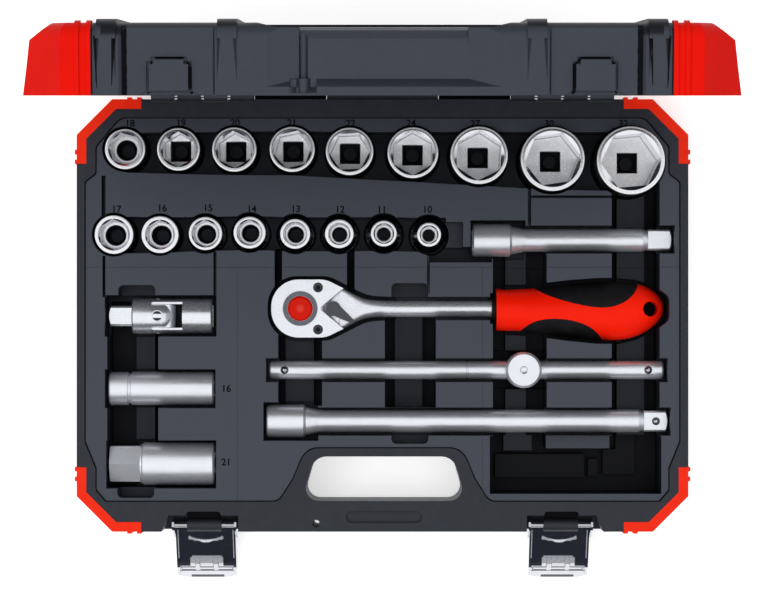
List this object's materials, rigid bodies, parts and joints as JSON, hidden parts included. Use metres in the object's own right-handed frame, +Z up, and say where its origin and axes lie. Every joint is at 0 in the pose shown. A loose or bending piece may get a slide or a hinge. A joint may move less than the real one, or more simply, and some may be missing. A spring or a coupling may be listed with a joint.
{
  "type": "socket set in a hinged carry case",
  "caption": "Hinged plastic carry case, shown open, whose tray holds half-inch drive sockets, extension bars, a T-bar, a ratchet, a universal joint and spark plug sockets.",
  "frame": {"origin": "middle of the base's underside, on the table", "axes": "+X along the hinge to the right, +Y from the carry handle to the hinge, +Z up"},
  "size_m": [0.3814, 0.3416, 0.3216],
  "materials": {
    "case_shell": "moulded dark blue-grey",
    "tray": "moulded dark blue-grey, fine texture",
    "guard_base": "orange-red",
    "guard_lid": "red",
    "pins": "bright",
    "latch_steel": "polished",
    "socket_chrome": "polished",
    "bar_chrome": "satin",
    "ratchet_chrome": "satin",
    "ball_steel": "bright",
    "button_red": "red",
    "handle_red": "bright red",
    "grip_black": "soft black"
  },
  "bodies": {
    "root": {"base_shell": "case_shell", "tool_tray": "tray", "tool_tray_left": "tray", "tool_tray_middle": "tray", "tool_tray_right": "tray", "base_corner_guards": "guard_base", "hinge_pins": "pins", "latch_pins": "pins"},
    "lid": {"lid_shell": "case_shell", "lid_corner_guards": "guard_lid"},
    "latch_left": {"latch_plate_left": "latch_steel", "latch_hook_left": "latch_steel"},
    "latch_right": {"latch_plate_right": "latch_steel", "latch_hook_right": "latch_steel"},
    "socket_18": {"socket_18": "socket_chrome"},
    "socket_19": {"socket_19": "socket_chrome"},
    "socket_20": {"socket_20": "socket_chrome"},
    "socket_21": {"socket_21": "socket_chrome"},
    "socket_22": {"socket_22": "socket_chrome"},
    "socket_24": {"socket_24": "socket_chrome"},
    "socket_27": {"socket_27": "socket_chrome"},
    "socket_30": {"socket_30": "socket_chrome"},
    "socket_32": {"socket_32": "socket_chrome"},
    "socket_17": {"socket_17": "socket_chrome"},
    "socket_16": {"socket_16": "socket_chrome"},
    "socket_15": {"socket_15": "socket_chrome"},
    "socket_14": {"socket_14": "socket_chrome"},
    "socket_13": {"socket_13": "socket_chrome"},
    "socket_12": {"socket_12": "socket_chrome"},
    "socket_11": {"socket_11": "socket_chrome"},
    "socket_10": {"socket_10": "socket_chrome"},
    "extension_125": {"extension_125": "bar_chrome"},
    "extension_250": {"extension_250": "bar_chrome"},
    "tee_bar": {"tee_bar": "bar_chrome"},
    "tee_head": {"tee_head": "bar_chrome"},
    "ratchet": {"ratchet_body": "ratchet_chrome", "ratchet_cover": "ratchet_chrome", "ratchet_cover_screws": "ball_steel", "ratchet_collar": "grip_black", "ratchet_handle": "handle_red", "ratchet_grips": "grip_black"},
    "ratchet_gear": {"ratchet_gear": "ratchet_chrome"},
    "ratchet_lever": {"ratchet_lever": "ratchet_chrome"},
    "ratchet_button": {"ratchet_button": "button_red"},
    "joint_socket": {"joint_socket": "bar_chrome"},
    "joint_cross": {"joint_cross": "bar_chrome", "joint_pins": "bar_chrome"},
    "joint_driver": {"joint_driver": "bar_chrome"},
    "spark_socket_16": {"spark_socket_16": "socket_chrome", "spark_insert_16": "grip_black"},
    "spark_socket_21": {"spark_socket_21": "socket_chrome", "spark_insert_21": "grip_black"},
    "extension_125_ball": {"extension_125_ball": "ball_steel"},
    "extension_250_ball": {"extension_250_ball": "ball_steel"},
    "tee_bar_ball_left": {"tee_bar_ball_left": "ball_steel"},
    "tee_bar_ball_right": {"tee_bar_ball_right": "ball_steel"},
    "tee_head_ball": {"tee_head_ball": "ball_steel"},
    "ratchet_ball": {"ratchet_ball": "ball_steel"},
    "joint_ball": {"joint_ball": "ball_steel"}
  },
  "joints": [
    {"name": "lid_hinge", "type": "hinge", "parent": "root", "child": "lid", "pos_m": [0, 0.136, 0.048], "axis": [-1, 0, 0], "range_deg": [-84.7, 0]},
    {"name": "latch_left_swing", "type": "hinge", "parent": "root", "child": "latch_left", "pos_m": [-0.111, -0.1305, 0.0375], "axis": [1, 0, 0], "range_deg": [-119.55, 0]},
    {"name": "latch_right_swing", "type": "hinge", "parent": "root", "child": "latch_right", "pos_m": [0.111, -0.1305, 0.0375], "axis": [1, 0, 0], "range_deg": [-119.55, 0]},
    {"name": "ratchet_lift", "type": "slide", "parent": "root", "child": "ratchet", "axis": [0, 0, 1], "range_m": [0, 0.07]},
    {"name": "ratchet_gear_spin", "type": "hinge", "parent": "ratchet", "child": "ratchet_gear", "pos_m": [-0.0512, 0.0044, 0.022], "axis": [0, 0, 1], "continuous": true},
    {"name": "ratchet_lever_turn", "type": "hinge", "parent": "ratchet", "child": "ratchet_lever", "pos_m": [-0.0306, 0.0044, 0.0385], "axis": [0, 0, 1], "range_deg": [0, 67.6]},
    {"name": "ratchet_button_press", "type": "slide", "parent": "ratchet", "child": "ratchet_button", "axis": [0, 0, 1], "range_m": [-0.002, 0], "stiffness_N_per_m": 600, "springref_m": 0.002},
    {"name": "tee_bar_lift", "type": "slide", "parent": "root", "child": "tee_bar", "axis": [0, 0, 1], "range_m": [0, 0.07]},
    {"name": "tee_head_slide", "type": "slide", "parent": "tee_bar", "child": "tee_head", "axis": [1, 0, 0], "range_m": [-0.0075, 0.0023]},
    {"name": "joint_lift", "type": "slide", "parent": "root", "child": "joint_socket", "axis": [0, 0, 1], "range_m": [0, 0.07]},
    {"name": "joint_tilt", "type": "hinge", "parent": "joint_socket", "child": "joint_cross", "pos_m": [-0.1401, -0.0002, 0.032], "axis": [0, 1, 0], "range_deg": [0, 45]},
    {"name": "joint_swing", "type": "hinge", "parent": "joint_cross", "child": "joint_driver", "pos_m": [-0.1401, -0.0002, 0.032], "axis": [0, 0, 1], "range_deg": [-4, 4]},
    {"name": "extension_250_lift", "type": "slide", "parent": "root", "child": "extension_250", "axis": [0, 0, 1], "range_m": [0, 0.07]},
    {"name": "extension_125_lift", "type": "slide", "parent": "root", "child": "extension_125", "axis": [0, 0, 1], "range_m": [0, 0.07]},
    {"name": "spark_socket_16_lift", "type": "slide", "parent": "root", "child": "spark_socket_16", "axis": [0, 0, 1], "range_m": [0, 0.07]},
    {"name": "spark_socket_21_lift", "type": "slide", "parent": "root", "child": "spark_socket_21", "axis": [0, 0, 1], "range_m": [0, 0.07]},
    {"name": "socket_32_lift", "type": "slide", "parent": "root", "child": "socket_32", "axis": [0, 0, 1], "range_m": [0, 0.07]},
    {"name": "socket_30_lift", "type": "slide", "parent": "root", "child": "socket_30", "axis": [0, 0, 1], "range_m": [0, 0.07]},
    {"name": "socket_27_lift", "type": "slide", "parent": "root", "child": "socket_27", "axis": [0, 0, 1], "range_m": [0, 0.07]},
    {"name": "socket_24_lift", "type": "slide", "parent": "root", "child": "socket_24", "axis": [0, 0, 1], "range_m": [0, 0.07]},
    {"name": "socket_22_lift", "type": "slide", "parent": "root", "child": "socket_22", "axis": [0, 0, 1], "range_m": [0, 0.07]},
    {"name": "socket_21_lift", "type": "slide", "parent": "root", "child": "socket_21", "axis": [0, 0, 1], "range_m": [0, 0.07]},
    {"name": "socket_20_lift", "type": "slide", "parent": "root", "child": "socket_20", "axis": [0, 0, 1], "range_m": [0, 0.07]},
    {"name": "socket_19_lift", "type": "slide", "parent": "root", "child": "socket_19", "axis": [0, 0, 1], "range_m": [0, 0.07]},
    {"name": "socket_18_lift", "type": "slide", "parent": "root", "child": "socket_18", "axis": [0, 0, 1], "range_m": [0, 0.07]},
    {"name": "socket_17_lift", "type": "slide", "parent": "root", "child": "socket_17", "axis": [0, 0, 1], "range_m": [0, 0.07]},
    {"name": "socket_16_lift", "type": "slide", "parent": "root", "child": "socket_16", "axis": [0, 0, 1], "range_m": [0, 0.07]},
    {"name": "socket_15_lift", "type": "slide", "parent": "root", "child": "socket_15", "axis": [0, 0, 1], "range_m": [0, 0.07]},
    {"name": "socket_14_lift", "type": "slide", "parent": "root", "child": "socket_14", "axis": [0, 0, 1], "range_m": [0, 0.07]},
    {"name": "socket_13_lift", "type": "slide", "parent": "root", "child": "socket_13", "axis": [0, 0, 1], "range_m": [0, 0.07]},
    {"name": "socket_12_lift", "type": "slide", "parent": "root", "child": "socket_12", "axis": [0, 0, 1], "range_m": [0, 0.07]},
    {"name": "socket_11_lift", "type": "slide", "parent": "root", "child": "socket_11", "axis": [0, 0, 1], "range_m": [0, 0.07]},
    {"name": "socket_10_lift", "type": "slide", "parent": "root", "child": "socket_10", "axis": [0, 0, 1], "range_m": [0, 0.07]},
    {"name": "extension_125_ball_press", "type": "slide", "parent": "extension_125", "child": "extension_125_ball", "axis": [0, 1, 0], "range_m": [-0.0007, 0], "stiffness_N_per_m": 500, "springref_m": 0.001},
    {"name": "extension_250_ball_press", "type": "slide", "parent": "extension_250", "child": "extension_250_ball", "axis": [0, 0, 1], "range_m": [-0.0007, 0], "stiffness_N_per_m": 500, "springref_m": 0.001},
    {"name": "tee_bar_ball_left_press", "type": "slide", "parent": "tee_bar", "child": "tee_bar_ball_left", "axis": [0, 0, 1], "range_m": [-0.0007, 0], "stiffness_N_per_m": 500, "springref_m": 0.001},
    {"name": "tee_bar_ball_right_press", "type": "slide", "parent": "tee_bar", "child": "tee_bar_ball_right", "axis": [0, 0, 1], "range_m": [-0.0007, 0], "stiffness_N_per_m": 500, "springref_m": 0.001},
    {"name": "tee_head_ball_press", "type": "slide", "parent": "tee_head", "child": "tee_head_ball", "axis": [1, 0, 0], "range_m": [-0.0007, 0], "stiffness_N_per_m": 500, "springref_m": 0.001},
    {"name": "ratchet_ball_press", "type": "slide", "parent": "ratchet_gear", "child": "ratchet_ball", "axis": [-1, 0, 0], "range_m": [-0.0007, 0], "stiffness_N_per_m": 500, "springref_m": 0.001},
    {"name": "joint_ball_press", "type": "slide", "parent": "joint_driver", "child": "joint_ball", "axis": [0, -1, 0], "range_m": [-0.0007, 0], "stiffness_N_per_m": 500, "springref_m": 0.001}
  ]
}
